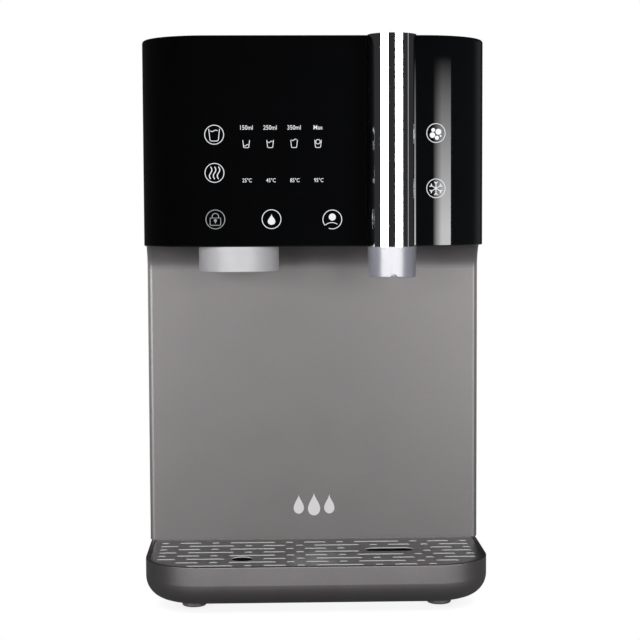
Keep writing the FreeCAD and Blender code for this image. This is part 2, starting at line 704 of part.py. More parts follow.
# ---- Inner frame and boards --------------------------------------------------------------
def internal_frame():
    """Four angle posts, the machine deck and the top rails."""
    deck_half = FRAME_HALF - 2
    pieces = [box(-deck_half, FRAME_FRONT, SHELF_Z, deck_half, FRAME_REAR + 5, DECK)]
    for side in (-1, 1):
        for y, facing in ((FRAME_FRONT, 1), (FRAME_REAR, -1)):
            pieces += angle_post(side, y, facing) + post_foot(side, y, facing)
        pieces.append(span(side * FRAME_HALF, side * (FRAME_HALF - SHEET), FRAME_FRONT, FRAME_REAR + 1,
                           RAIL_TOP - RAIL_DEPTH, RAIL_TOP))
    frame = union(pieces)
    return without(frame, [rod(6, (x, y, SHELF_Z - 1), 4) for x, y in ((-10, 172), (0, 60))])


def span(x0, x1, y0, y1, low, high):
    """Box between two corners given in either order."""
    return box(min(x0, x1), min(y0, y1), low, max(x0, x1), max(y0, y1), high)


def angle_post(side, y, facing):
    """Two legs of an angle; the front posts end below the head."""
    top = RAIL_TOP if facing > 0 else TOP - WALL - 8
    x = side * FRAME_HALF
    across = span(x, x - side * POST, y, y + facing * SHEET, POST_FOOT_Z, top)
    along = span(x, x - side * SHEET, y, y + facing * POST, POST_FOOT_Z, top)
    return [across, along]


def post_foot(side, y, facing):
    """Z-shaped foot that steps a post inward to the base pan."""
    end = y + facing * POST / 2
    inner = side * POST_FOOT_X
    tread = span(inner, side * FRAME_HALF, y, end, POST_FOOT_Z, POST_FOOT_Z + SHEET)
    riser = span(inner, inner + side * SHEET, y, end, PAN_TOP, POST_FOOT_Z)
    return [tread, riser]


def base_pan():
    return box(-112, -94, PAN_Z, 112, 190, PAN_TOP)


def power_supply():
    """Open-frame supply: a can over its circuit board."""
    low = 18.0
    top = low + BOARD
    board = box(-108, -84, low, -16, -30, top)
    can = box(-104, -80, top, -46, -34, 52)
    choke = rod(9, (-32, -66, top), 22)
    capacitor = rod(7, (-32, -46, top), 26)
    posts = [rod(3, (x, y, PAN_TOP), low - PAN_TOP) for x in (-102, -22) for y in (-78, -36)]
    return union([board, can, choke, capacitor] + posts)


def control_board():
    """Main board standing on edge, with relays and a row of connectors."""
    left, right = -118.0, -20.0
    back = -22.0
    face = back + BOARD
    foot_top = 16.0
    board = box(left, back, foot_top, right, face, 118)
    relays = [box(left + 6 + i * 22, face, 86, left + 22 + i * 22, face + 14.4, 106) for i in range(4)]
    sockets = [box(left + 8 + i * 14, face, 24, left + 18 + i * 14, face + 8.4, 34) for i in range(6)]
    chip = box(left + 38, face, 52, left + 60, face + 2.4, 74)
    foot_bar = box(left, back, PAN_TOP, right, back + 4, foot_top)
    return union([board, chip, foot_bar] + relays + sockets)


# ---- Refrigeration -----------------------------------------------------------------------
def compressor():
    x, y, radius = COMPRESSOR
    plate_z = COMPRESSOR_PLATE_Z
    can = round_can(x, y, radius, plate_z + 3, 134, 20)
    plate = rounded_box(x - 50, y - 50, plate_z, x + 50, y + 50, plate_z + 3, 8)
    terminal = box(x + radius - 6, y - 16, 70, x + radius + 12, y + 16, 104)
    stub = rod(4, (x - 20, y - 10, 128), 12)
    holes = [rod(5, (spot_x, spot_y, plate_z - 1), 5) for spot_x, spot_y in compressor_spots()]
    skirt = rod(radius - 8, (x, y, plate_z + 2), 12)
    return without(union([can, plate, terminal, stub, skirt]), holes)


def compressor_spots():
    x, y, _ = COMPRESSOR
    return [(x + side * 40, y + end * 40) for side in (-1, 1) for end in (-1, 1)]


def compressor_mounts():
    """Rubber grommets between the pan and the compressor's plate."""
    plate_z = COMPRESSOR_PLATE_Z
    mounts = []
    for x, y in compressor_spots():
        lower = rod(8, (x, y, PAN_TOP), plate_z - PAN_TOP)
        neck = rod(4.9, (x, y, plate_z - 0.5), 4.5)
        upper = rod(7, (x, y, plate_z + 3), 3)
        mounts.append(union([lower, neck, upper]))
    return Part.makeCompound(mounts)


def condenser():
    """Finned coil behind the rear louvres."""
    x, z, _ = FAN
    rear = CONDENSER_Y + CONDENSER_DEPTH
    pieces = []
    for index in range(FINS):
        fin_x = x - CONDENSER_HALF + 2 + index * FIN_PITCH
        pieces.append(box(fin_x, CONDENSER_Y, z - 50, fin_x + 1, rear, z + 50))
    for row in range(5):
        start = (x - CONDENSER_HALF, CONDENSER_Y + CONDENSER_DEPTH / 2, z - 40 + row * 20)
        pieces.append(rod(3, start, 2 * CONDENSER_HALF, X_AXIS))
    for side in (-1, 1):
        end_x = x + side * CONDENSER_HALF
        pieces.append(box(end_x - 1, CONDENSER_Y, z - 52, end_x + 1, rear, z + 52))
    return union(pieces)


def fan_shroud():
    """Square fan frame with its motor hub and three struts."""
    x, z, radius = FAN
    depth = CONDENSER_Y - FAN_Y
    frame = box(x - 52, FAN_Y, z - 52, x + 52, CONDENSER_Y, z + 52)
    frame = frame.cut(rod(radius + 2, (x, FAN_Y - 1, z), depth + 2, Y_AXIS))
    hub = rod(FAN_HUB, (x, CONDENSER_Y - 8, z), 8, Y_AXIS)
    struts = []
    for index in range(3):
        strut = box(x + 12, CONDENSER_Y - 4, z - 2, x + radius + 3, CONDENSER_Y, z + 2)
        strut.rotate(V(x, 0, z), Y_AXIS, 90 + index * 120)
        struts.append(strut)
    axle = rod(FAN_AXLE, (x, FAN_Y + 3, z), depth - 6, Y_AXIS)
    return union([frame, hub, axle] + struts)


def fan_rotor():
    """Seven pitched blades on a hub."""
    x, z, radius = FAN
    hub = rod(FAN_HUB, (x, FAN_Y + 4, z), 12, Y_AXIS)
    room = rod(radius, (x, FAN_Y + 2, z), 16, Y_AXIS)
    blades = []
    for index in range(FAN_BLADES):
        blade = box(x + FAN_HUB - 3, FAN_Y + 9, z - 11, x + radius - 1, FAN_Y + 10.5, z + 11)
        blade.rotate(V(x, FAN_Y + 9.75, z), X_AXIS, 26)
        blade.rotate(V(x, 0, z), Y_AXIS, index * 360 / FAN_BLADES)
        blades.append(blade.common(room))
    bore = rod(FAN_AXLE + PIN_CLEARANCE, (x, FAN_Y, z), 20, Y_AXIS)
    return union([hub] + blades).cut(bore)


def cold_tank():
    x, y, radius = COLD
    low = DECK + 14
    tank = round_can(x, y, radius, low, low + 180, 12)
    ports = [rod(PORT_R, (x + side * 15, y, low + 178), 14) for side in (-1, 1)]
    return union([tank] + ports)


def evaporator_coil():
    """Refrigerant coil round the cold tank, drawn as turns joined by a riser."""
    x, y, radius = COLD
    low = DECK + 40
    turn_radius = radius + 4.2
    turns = [Part.makeTorus(turn_radius, 3.0, V(x, y, low + i * COIL_PITCH), Z_AXIS)
             for i in range(COIL_TURNS)]
    riser = rod(2.4, (x, y - turn_radius, low), (COIL_TURNS - 1) * COIL_PITCH)
    return union([riser] + turns)


def tank_insulation():
    """Foam jacket in the shape of the tank space."""
    x, y, radius = COLD
    jacket = rounded_box(x - 58, y - 58, DECK, x + 58, y + 58, DECK + 208, 14)
    hollow = rod(radius + 8.5, (x, y, DECK + 12), 184)
    ports = [rod(PORT_R + 0.4, (x + side * 15, y, DECK + 190), 30) for side in (-1, 1)]
    return without(jacket, [hollow] + ports)


# ---- Gas, heat, pump and valves ----------------------------------------------------------
def carbonation_tank():
    x, y, radius = CARBONATOR
    tank = round_can(x, y, radius, DECK + 6, DECK + 112, 12)
    stand = tube(radius - 4, radius - 7, (x, y, DECK), 12)
    ports = [rod(PORT_R, (x + side * 12, y, DECK + 110), 12) for side in (-1, 1)]
    return union([tank, stand] + ports)


def heater():
    """Instant heater in its rectangular case, with inlet and outlet."""
    x, y = HEATER
    case = rounded_box(x - 22, y - 28, DECK, x + 22, y + 28, DECK + 112, 5)
    ports = [rod(PORT_R, (x, y + side * 14, DECK + 112), 10) for side in (-1, 1)]
    return union([case] + ports)


def co2_cylinder():
    x, y, radius = CO2
    low = DECK + 0.5
    can = round_can(x, y, radius, low, low + 186, 16)
    neck = rod(CO2_NECK, (x, y, low + 184), 24)
    return union([can, neck])


def co2_regulator():
    """Regulator on the cylinder's neck, with its knob, gauge and outlet."""
    x, y, _ = CO2
    low = DECK + 194.5
    body = rounded_box(x - 20, y - 18, low, x + 20, y + 18, low + 32, 5)
    socket = rod(CO2_NECK + 0.06, (x, y, low - 1), 16)
    knob = rod(9, (x, y - 18, low + 18), 14, Y_AXIS * -1)
    gauge = rear_disc((x, low + 18), 13, y + 18, 12, 1.5)
    outlet = rod(PORT_R, (x + 20, y, low + 18), 12, X_AXIS)
    shelf = box(x - 20, y - 2, low + 32, x + 20, y + 2, low + 40)
    return union([body, knob, gauge, outlet, shelf]).cut(socket)


def pump():
    """Diaphragm pump: motor, gearbox block and head with two ports."""
    x = PUMP_X
    motor = rod(19, (x, 36, 44), 56, Y_AXIS)
    block = box(x - 22, 14, PAN_TOP, x + 22, 36, 66)
    head = box(x - 20, -2, 26, x + 20, 14, 62)
    ports = [rod(PORT_R, (x + side * 20, 6, 52), 10, X_AXIS * side) for side in (-1, 1)]
    cradle = box(x - 18, 40, PAN_TOP, x + 18, 84, 30)
    return union([motor, block, head, cradle] + ports)


def valve_manifold():
    """Water manifold with three solenoid coils."""
    first_x, y, pitch = MANIFOLD
    low, high = 30.0, 52.0
    pieces = [box(first_x - 16, y - 13, low, first_x + 2 * pitch + 16, y + 13, high)]
    for index in range(3):
        x = first_x + index * pitch
        pieces.append(rounded_box(x - 11, y - 11, high, x + 11, y + 11, high + 30, 3))
        pieces.append(rod(5, (x, y, high + 30), 8))
        pieces.append(rod(PORT_R, (x, y + 13, (low + high) / 2), 12, Y_AXIS))
    for leg_x in (first_x - 14, first_x + 66):
        pieces.append(box(leg_x, y - 9, PAN_TOP, leg_x + 8, y + 9, low))
    return union(pieces)


# ---- Filter ------------------------------------------------------------------------------
def filter_head():
    """Fixed head with the filter's bayonet socket, its two ports and a hanger."""
    x, y, radius = FILTER
    body = rod(radius + 2, (x, y, FILTER_TOP), 24)
    body = body.makeFillet(4, edges_at(body, FILTER_TOP + 24))
    socket = rod(FILTER_NECK + 0.06, (x, y, FILTER_TOP - 1), 14)
    ports = [rod(5, (x + side * radius, y, FILTER_TOP + 14), 14, X_AXIS * side) for side in (-1, 1)]
    hanger = box(x - 20, y - 4, FILTER_TOP + 22, x + 20, y + 4, FILTER_TOP + 39)
    return union([body, hanger] + ports).cut(socket)


def filter_cartridge():
    """Filter cartridge with its quarter-turn neck and a grip at the bottom."""
    x, y, radius = FILTER
    can = round_can(x, y, radius, 186, FILTER_TOP - 4, 10)
    neck = rod(FILTER_NECK, (x, y, FILTER_TOP - 6), 16)
    grip = box(x - 4, y - 26, 176, x + 4, y + 26, 190)
    return union([can, neck, grip])


# ---- Rear services -----------------------------------------------------------------------
def power_inlet():
    """Appliance inlet with three blades in a recessed shroud."""
    flange = rear_flange(POWER, 20, 16, 1.8)
    body = rear_block(POWER, 16, 12, REAR_FACE - 22, REAR_FACE)
    recess = rear_block(POWER, 12.5, 9.5, REAR_FACE - 15, REAR_FACE + 3)
    blades = []
    for dx, dz in ((-7, -2), (0, 3), (7, -2)):
        spot = (POWER[0] + dx, POWER[1] + dz)
        blades.append(rear_block(spot, 1, 2.5, REAR_FACE - 16, REAR_FACE - 3))
    return union([union([flange, body]).cut(recess)] + blades)


def switch_bezel():
    flange = rear_flange(SWITCH, 12.5, 15.5, 1.6)
    body = rear_block(SWITCH, 9.5, 12.5, REAR_FACE - 18, REAR_FACE)
    well = rear_block(SWITCH, 7, 10, REAR_FACE - 14, REAR_FACE + 3)
    return union([flange, body]).cut(well)


def power_switch():
    """Rocker that pivots about its middle, stored with the lower end pressed in."""
    x, z = SWITCH
    y = REAR_FACE - 5.0
    start = x - 6.5
    points = [(start, y - 4, z - 7.5), (start, y + 3.5, z - 8), (start, y + 4.2, z),
              (start, y + 7.0, z + 8), (start, y - 2, z + 7.5)]
    return prism(points, X_AXIS * 13)


def water_inlet():
    """Bulkhead push-fit for a 6.35 mm water line."""
    x, z = WATER
    flange = rear_disc(WATER, 12, REAR_FACE, 2, 0.7)
    collar = rear_disc(WATER, 8, REAR_FACE + 2, 4, 0.8)
    barrel = rod(9, (x, REAR_FACE - 26, z), 26, Y_AXIS)
    bore = rod(WATER_LINE_R, (x, REAR_FACE - 14, z), 30, Y_AXIS)
    return union([flange, collar, barrel]).cut(bore)


def drain_socket():
    x, z = DRAIN
    flange = rear_disc(DRAIN, 9, REAR_FACE, 1.6, 0.6)
    barrel = rod(6, (x, REAR_FACE - 20, z), 20, Y_AXIS)
    bore = rod(BUNG_R + 0.06, (x, REAR_FACE - 14, z), 30, Y_AXIS)
    return union([flange, barrel]).cut(bore)


def drain_plug():
    """Bung in the drain socket."""
    x, z = DRAIN
    stem = rod(BUNG_R, (x, REAR_FACE - 10, z), 14, Y_AXIS)
    head = rear_disc(DRAIN, 7.5, REAR_FACE + 1.9, 3.6, 1.0)
    grip = rear_block(DRAIN, 1, 5.5, REAR_FACE + 5.3, REAR_FACE + 6.9)
    return union([stem, head, grip])


# ---- Inner hoses -------------------------------------------------------------------------
def inlet_hose():
    """From the water inlet up to the filter head."""
    x, y, radius = FILTER
    port_z = FILTER_TOP + 14
    return hose([(WATER[0], REAR_FACE - 26, WATER[1]), (WATER[0], 171, WATER[1]),
                 (-10, 171, 140), (-10, 171, 370), (2, y, port_z), (x - radius - 14, y, port_z)],
                3.2, 2.0, 8.0)


def hot_hose():
    """From the heater to the hot spout."""
    x, y = HEATER
    return hose([(x, y - 14, DECK + 122), (x, y - 14, 318), (x, -100, 318),
                 (GUARD_X, -100, 345), (GUARD_X, GUARD_Y, 345),
                 (GUARD_X, GUARD_Y, GUARD_BOTTOM + 63)], 4.0, 2.6, 14.0)


def cold_hose():
    """From the carbonation tank to the chrome column."""
    x, y, _ = CARBONATOR
    return hose([(x + 12, y, DECK + 122), (x + 12, y, 412), (COLUMN_X, -100, 412),
                 (COLUMN_X, COLUMN_Y + COLUMN_R + 0.2, 412)], 3.2, 2.0, 10.0)


NODES = [
    base_shell, feet, front_panel, side_panel_left, side_panel_right, rear_panel, rear_door,
    door_hinge_pins, door_latch, wall_bumpers, top_cover, screws_rear,
    head_shell, head_underside, spout_column, column_cap, cold_spout, nozzle_sleeve,
    spout_guard, hot_spout, touch_board_left, touch_board_right, head_bracket,
    drip_grille, drip_basin,
    internal_frame, base_pan, power_supply, control_board,
    compressor, compressor_mounts, condenser, fan_shroud, fan_rotor,
    cold_tank, evaporator_coil, tank_insulation,
    carbonation_tank, heater, co2_cylinder, co2_regulator, pump, valve_manifold,
    filter_head, filter_cartridge,
    power_inlet, switch_bezel, power_switch, water_inlet, drain_socket, drain_plug,
    inlet_hose, hot_hose, cold_hose,
]

os.makedirs("parts", exist_ok=True)
for make in NODES:
    shape = make()
    solids = Part.makeCompound(shape.Solids)
    print("%-20s solids %d valid %s volume %.1f cm3" % (
        make.__name__, len(shape.Solids), solids.isValid(), solids.Volume / 1000))
    solids.exportStep("parts/%s.step" % make.__name__)
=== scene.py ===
"""Countertop water dispenser: finishes, printed icons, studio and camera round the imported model."""
import json
import math

import bpy
from mathutils import Euler, Matrix, Vector


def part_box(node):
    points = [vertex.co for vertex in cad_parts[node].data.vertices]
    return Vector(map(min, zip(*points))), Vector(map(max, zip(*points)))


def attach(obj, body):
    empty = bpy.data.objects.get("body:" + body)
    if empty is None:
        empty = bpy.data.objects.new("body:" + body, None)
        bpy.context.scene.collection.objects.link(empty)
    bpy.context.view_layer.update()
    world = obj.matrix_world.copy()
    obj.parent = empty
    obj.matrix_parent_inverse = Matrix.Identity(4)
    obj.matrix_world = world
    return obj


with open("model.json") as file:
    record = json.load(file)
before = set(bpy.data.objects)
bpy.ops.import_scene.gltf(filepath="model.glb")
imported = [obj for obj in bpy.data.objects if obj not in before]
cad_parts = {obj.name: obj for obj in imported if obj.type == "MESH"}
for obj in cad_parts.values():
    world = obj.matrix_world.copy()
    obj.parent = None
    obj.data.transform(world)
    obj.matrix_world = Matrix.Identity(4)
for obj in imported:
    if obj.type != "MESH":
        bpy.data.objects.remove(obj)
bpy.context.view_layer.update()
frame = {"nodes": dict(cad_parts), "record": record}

MM = 0.001
NODES = frame["nodes"]

# Places read from the frame
HEAD_LOW, HEAD_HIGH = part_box("head_shell")
GRILLE_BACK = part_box("drip_grille")[1].y
HEAD_FACE = HEAD_LOW.y                     # front face of the head
HEAD_UNDER = HEAD_LOW.z
HEAD_HALF = HEAD_HIGH.x
CABINET_FACE = GRILLE_BACK + 0.6 * MM      # front face of the cabinet, just behind the grille
HEAD_CORNER = 52 * MM                      # radius of the head's front corners, seen from above

# Camera: its place before the cabinet's face, its lens in millimetres and its turns in radians
CAMERA_X = -37.5 * MM
CAMERA_AWAY = 1350.1 * MM
CAMERA_HEIGHT = 313.0 * MM
CAMERA_LENS = 92.99
CAMERA_SENSOR = 36
CAMERA_YAW = 0.0319
CAMERA_PITCH = 0.0702
CAMERA_ROLL = -0.0042

# Studio: spans in degrees round the column, from straight in front, and heights in metres
COLUMN_X = sum(corner.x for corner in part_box("spout_column")) / 2
SOFTBOX_AWAY = 1.5
STUDIO_TOP = 0.62
KEY_RADIANCE = 11.5
KEYS = (("key_left", -58, -21.8), ("key_right", 12, 46.6))
SIDES = ("side_panel_left", "side_panel_right")
KEYLESS = ("head_shell", "base_shell", "drip_grille") + SIDES    # nodes that the keys leave out
# name, start, end, bottom, top, radiance and the nodes that the light reaches
FILLS = (
    ("base_light", -60, 66, 0.0, STUDIO_TOP, 6.3, ("base_shell",)),
    ("nozzle_fill", -21, 12, 0.0, STUDIO_TOP, 11.5, ("nozzle_sleeve",)),
    ("guard_fill", -21, 12, 0.0, STUDIO_TOP, 7.5, ("spout_guard",)),
    ("grille_sheen", -40, 40, 0.0, 1.8, 0.9, ("drip_grille",)),
    ("sheen_left", -70, -25, 0.0, 0.9, 2.4, SIDES),
    ("sheen_right", 25, 70, 0.0, 0.9, 2.4, SIDES),
    ("cabinet_fill", -42, -20, 0.0, STUDIO_TOP, 4.6, ("front_panel",)),
    ("rim_left", -135, -80, 0.0, STUDIO_TOP, 2.0, ("front_panel",) + SIDES),
    ("rim_right", 80, 135, 0.0, STUDIO_TOP, 2.0, ("front_panel",) + SIDES),
    ("chrome_line", 76, 80, 0.0, STUDIO_TOP, 0.4, ("spout_column",)),
)
STRIP_AWAY = 0.3                           # near, so that its reflection stays by the head's corner
STRIP_X = HEAD_HALF - 37 * MM
# name, x, y, z, size and radiance of the lights behind, beside and above
REAR_LIGHTS = (
    ("rear_left", -1.6, 1.4, 1.8, 1.0, 3.0),
    ("rear_right", 1.6, 1.4, 1.8, 1.0, 3.0),
    ("side_left", -2.2, 0.1, 1.0, 1.3, 1.2),
    ("side_right", 2.2, 0.1, 1.0, 1.3, 1.8),
    ("behind", 0.3, 2.2, 0.7, 1.2, 3.0),
    ("above", 0.1, 0.4, 2.4, 1.3, 2.2),
)
# Nodes that those lights leave out
FRONT_NODES = ("head_shell", "base_shell", "front_panel", "spout_column", "nozzle_sleeve",
               "spout_guard", "drip_grille")
AIM = Vector((0, 0, 0.2))                  # near the middle of the object; those lights face it
ROOM = (0.03, 0.03, 0.031, 1)              # what reflections see where no light stands
FLOOR_DULL = (0.25, 0.25, 0.25, 1)         # the floor's colour in reflections
FLOOR_HALF = 4.0
CONTACT_REACH = 8 * MM                     # how far the floor's contact shade spreads
CONTACT_TONE = 0.8

# Printed icons, as distances from the middle of the head and from its underside
ICON_R = 7.55 * MM
ICON_LINE = 0.57 * MM
HEAT_LINE = 0.74 * MM
SNOW_LINE = 0.7 * MM
PRINT_THICK = 0.12 * MM
LEFT_ICON_X = -77.4 * MM
LOCK_X = -77.0 * MM
RIGHT_ICON_X = 93.4 * MM
LOW_ROW = 21.3 * MM
CUSTOM_ROW = 20.9 * MM
CUP_ROW = 86.2 * MM
HEAT_ROW = 57.0 * MM
BUBBLE_ROW = 87.0 * MM
SNOW_ROW = 44.5 * MM
DROP_ICON_X = -33.8 * MM
CUSTOM_ICON_X = 13.1 * MM
FIRST_LABEL_X = -52.9 * MM
LABEL_PITCH = 18.4 * MM
VOLUME_ROW = 91.4 * MM
LEVEL_ROW = 79.2 * MM
DEGREE_ROW = 51.0 * MM
DEGREE_SHIFT = 0.5 * MM
VOLUMES = ("150ml", "250ml", "350ml", "Max")
DEGREES = ("25°C", "45°C", "85°C", "95°C")
LEVELS = (-0.25, 0.3, 0.62, None)          # water level in each small cup; None is brim-full
VOLUME_SIZE = 4.8 * MM
DEGREE_SIZE = 4.2 * MM
VOLUME_NARROW = 0.9                        # width of the letters against the font's own
DEGREE_NARROW = 0.84
TEXT_BOLD = 0.004                          # how far the letters' outline grows, per unit of size
SMALL_CUP = 4.7 * MM
SMALL_CUP_LINE = 0.52 * MM

# Emblem on the cabinet, as heights above the counter
EMBLEM_Z = 66.0 * MM
EMBLEM_DROP = 9.7 * MM
EMBLEM_PITCH = 12.6 * MM
EMBLEM_SIDE = 0.84                         # size of the outer drops beside the middle one

# Curve of a drop
DROP_STEPS = 48
DROP_WIDEN = 1.22                          # the plain curve's widest place is about 0.8
DROP_POINT = 1.3                           # a higher power draws a finer tip


# ---- Node helpers ------------------------------------------------------------------------
def set_input(node, name, value):
    node.inputs[name].default_value = value


def new_material(name, base, roughness, metallic=0.0):
    """Material with its uniform values on the shader's own sockets."""
    material = bpy.data.materials.new(name)
    material.use_nodes = True
    shader = material.node_tree.nodes["Principled BSDF"]
    set_input(shader, "Base Color", (*base, 1))
    set_input(shader, "Roughness", roughness)
    set_input(shader, "Metallic", metallic)
    return material, material.node_tree, shader


def place(tree, stretch=(1, 1, 1)):
    """The piece's own coordinates in metres, stretched for brushed or layered patterns."""
    coordinates = tree.nodes.new("ShaderNodeTexCoord")
    mapping = tree.nodes.new("ShaderNodeMapping")
    set_input(mapping, "Scale", stretch)
    tree.links.new(coordinates.outputs["Object"], mapping.inputs["Vector"])
    return mapping.outputs["Vector"]


def noise(tree, size, detail=3.0, stretch=(1, 1, 1)):
    """Soft noise whose features are about size metres across."""
    node = tree.nodes.new("ShaderNodeTexNoise")
    set_input(node, "Scale", 1.0 / size)
    set_input(node, "Detail", detail)
    tree.links.new(place(tree, stretch), node.inputs["Vector"])
    return node.outputs["Fac"]


def cells(tree, size, feature="F1", output="Color", stretch=(1, 1, 1)):
    node = tree.nodes.new("ShaderNodeTexVoronoi")
    node.feature = feature
    set_input(node, "Scale", 1.0 / size)
    tree.links.new(place(tree, stretch), node.inputs["Vector"])
    return node.outputs[output]


def spread(tree, factor, low, high, start=0.3, end=0.7):
    """Map a pattern's start to end onto low to high."""
    node = tree.nodes.new("ShaderNodeMapRange")
    set_input(node, "From Min", start)
    set_input(node, "From Max", end)
    set_input(node, "To Min", low)
    set_input(node, "To Max", high)
    tree.links.new(factor, node.inputs["Value"])
    return node.outputs["Result"]


def tint(tree, shader, factor, dark, light):
    """Vary the base colour between two tones."""
    node = tree.nodes.new("ShaderNodeMix")
    node.data_type = "RGBA"
    colour_sockets = [socket for socket in node.inputs if socket.type == "RGBA"]
    colour_sockets[0].default_value = (*dark, 1)
    colour_sockets[1].default_value = (*light, 1)
    result = [socket for socket in node.outputs if socket.type == "RGBA"][0]
    tree.links.new(factor, node.inputs[0])
    tree.links.new(result, shader.inputs["Base Color"])


def bump(tree, shader, height, depth):
    """Relief of the given depth in metres."""
    node = tree.nodes.new("ShaderNodeBump")
    set_input(node, "Distance", depth)
    set_input(node, "Strength", 1.0)
    tree.links.new(height, node.inputs["Height"])
    tree.links.new(node.outputs["Normal"], shader.inputs["Normal"])


def scaled(colour, amount):
    return tuple(channel * amount for channel in colour)


# ---- Finishes ----------------------------------------------------------------------------
def gloss_black():
    """Polished black acrylic of the touch panel, with a faint uneven polish."""
    material, tree, shader = new_material("gloss_black", (0.003, 0.003, 0.004), 0.04)
    tint(tree, shader, noise(tree, 60 * MM), (0.0022, 0.0024, 0.003), (0.0035, 0.0038, 0.0045))
    tree.links.new(spread(tree, noise(tree, 25 * MM, 5), 0.03, 0.06), shader.inputs["Roughness"])
    bump(tree, shader, noise(tree, 9 * MM, 1), 0.004 * MM)
    set_input(shader, "IOR", 1.49)
    return material


def satin_paint(name, base, roughness, metallic):
    """Warm grey metallic paint: fine flakes, a little orange peel, uneven gloss."""
    material, tree, shader = new_material(name, base, roughness, metallic)
    flakes = cells(tree, 0.35 * MM)
    luminance = tree.nodes.new("ShaderNodeSeparateColor")
    tree.links.new(flakes, luminance.inputs["Color"])
    tint(tree, shader, luminance.outputs[0], scaled(base, 0.93), scaled(base, 1.07))
    gloss = spread(tree, noise(tree, 30 * MM, 4), roughness - 0.02, roughness + 0.02)
    tree.links.new(gloss, shader.inputs["Roughness"])
    bump(tree, shader, noise(tree, 0.8 * MM, 2), 0.006 * MM)
    return material


def moulded(name, base, roughness):
    """Moulded plastic with a fine spark-eroded grain."""
    material, tree, shader = new_material(name, base, roughness)
    tint(tree, shader, noise(tree, 12 * MM, 4), scaled(base, 0.85), scaled(base, 1.15))
    tree.links.new(spread(tree, noise(tree, 4 * MM, 4), roughness - 0.06, roughness + 0.06),
                   shader.inputs["Roughness"])
    bump(tree, shader, noise(tree, 0.5 * MM, 2), 0.02 * MM)
    return material


def polished_chrome():
    material, tree, shader = new_material("polished_chrome", (0.86, 0.87, 0.89), 0.03, 1.0)
    tint(tree, shader, noise(tree, 40 * MM), (0.83, 0.84, 0.86), (0.88, 0.89, 0.91))
    tree.links.new(spread(tree, noise(tree, 15 * MM, 5), 0.02, 0.045), shader.inputs["Roughness"])
    bump(tree, shader, noise(tree, 12 * MM, 1), 0.003 * MM)
    return material


def brush(tree, shader, roughness, stretch):
    """Brush a metal along the axis with the small stretch, and give back the grain."""
    grain = noise(tree, 0.5 * MM, 4, stretch)
    tree.links.new(spread(tree, grain, roughness - 0.06, roughness + 0.08), shader.inputs["Roughness"])
    bump(tree, shader, grain, 0.006 * MM)
    set_input(shader, "Anisotropic", 0.4)
    return grain


def brushed(name, base, roughness):
    """Metal brushed from top to bottom."""
    material, tree, shader = new_material(name, base, roughness, 1.0)
    grain = brush(tree, shader, roughness, (1, 1, 0.05))
    tint(tree, shader, grain, scaled(base, 0.86), scaled(base, 1.1))
    return material


def cut_steel(name, base, edge, roughness):
    """Brushed sheet lying flat, whose upright faces get a pale matte colour: a painted highlight that
    shows the slot edges as bright rims.
    """
    material, tree, shader = new_material(name, base, roughness, 1.0)
    brush(tree, shader, roughness, (0.04, 1, 1))
    surface = tree.nodes.new("ShaderNodeNewGeometry")
    facing = tree.nodes.new("ShaderNodeSeparateXYZ")
    upward = tree.nodes.new("ShaderNodeMath")
    upward.operation = "ABSOLUTE"
    tree.links.new(surface.outputs["True Normal"], facing.inputs[0])
    tree.links.new(facing.outputs["Z"], upward.inputs[0])
    # painted highlight: faces that stand upright turn pale and lose their metal, so the cut edges read
    # as bright rims
    flat = spread(tree, upward.outputs[0], 0, 1, 0.3, 0.8)
    tint(tree, shader, flat, edge, base)
    tree.links.new(flat, shader.inputs["Metallic"])
    return material


def frosted(name, base, roughness, shine):
    """Frosted plastic that lets some light through; shine is its specular level."""
    material, tree, shader = new_material(name, base, roughness)
    tint(tree, shader, noise(tree, 8 * MM, 3), scaled(base, 0.96), scaled(base, 1.03))
    set_input(shader, "Subsurface Weight", 0.5)
    set_input(shader, "Subsurface Radius", (0.004, 0.004, 0.005))
    set_input(shader, "Subsurface Scale", 1.0)
    set_input(shader, "Specular IOR Level", shine)
    tree.links.new(spread(tree, noise(tree, 3 * MM, 4), roughness - 0.03, roughness + 0.03),
                   shader.inputs["Roughness"])
    bump(tree, shader, noise(tree, 0.4 * MM, 2), 0.008 * MM)
    return material


def rubber():
    base = (0.022, 0.022, 0.022)
    material, tree, shader = new_material("rubber", base, 0.7)
    tint(tree, shader, noise(tree, 3 * MM, 4), scaled(base, 0.8), scaled(base, 1.25))
    bump(tree, shader, noise(tree, 0.6 * MM, 3), 0.03 * MM)
    return material


def galvanised():
    """Zinc-coated steel with its spangle."""
    material, tree, shader = new_material("galvanised", (0.5, 0.51, 0.53), 0.42, 1.0)
    spangle = tree.nodes.new("ShaderNodeSeparateColor")
    tree.links.new(cells(tree, 7 * MM), spangle.inputs["Color"])
    tint(tree, shader, spangle.outputs[0], (0.4, 0.41, 0.43), (0.6, 0.61, 0.63))
    tree.links.new(spread(tree, spangle.outputs[1], 0.34, 0.52, 0, 1), shader.inputs["Roughness"])
    bump(tree, shader, noise(tree, 2 * MM, 3), 0.01 * MM)
    return material


def circuit_board():
    """Solder-masked board with a net of copper tracks under the mask."""
    material, tree, shader = new_material("circuit_board", (0.02, 0.16, 0.07), 0.35)
    tracks = cells(tree, 6 * MM, "DISTANCE_TO_EDGE", "Distance", (1, 1, 2.5))
    mask = spread(tree, tracks, 0, 1, 0.04, 0.09)
    tint(tree, shader, mask, (0.05, 0.26, 0.1), (0.012, 0.11, 0.045))
    bump(tree, shader, spread(tree, tracks, 1, 0, 0.04, 0.09), 0.04 * MM)
    return material


def enamel():
    material, tree, shader = new_material("black_enamel", (0.012, 0.012, 0.013), 0.22)
    tint(tree, shader, noise(tree, 20 * MM, 4), (0.009, 0.009, 0.01), (0.016, 0.016, 0.017))
    tree.links.new(spread(tree, noise(tree, 6 * MM, 4), 0.17, 0.3), shader.inputs["Roughness"])
    bump(tree, shader, noise(tree, 2.5 * MM, 2), 0.02 * MM)
    return material


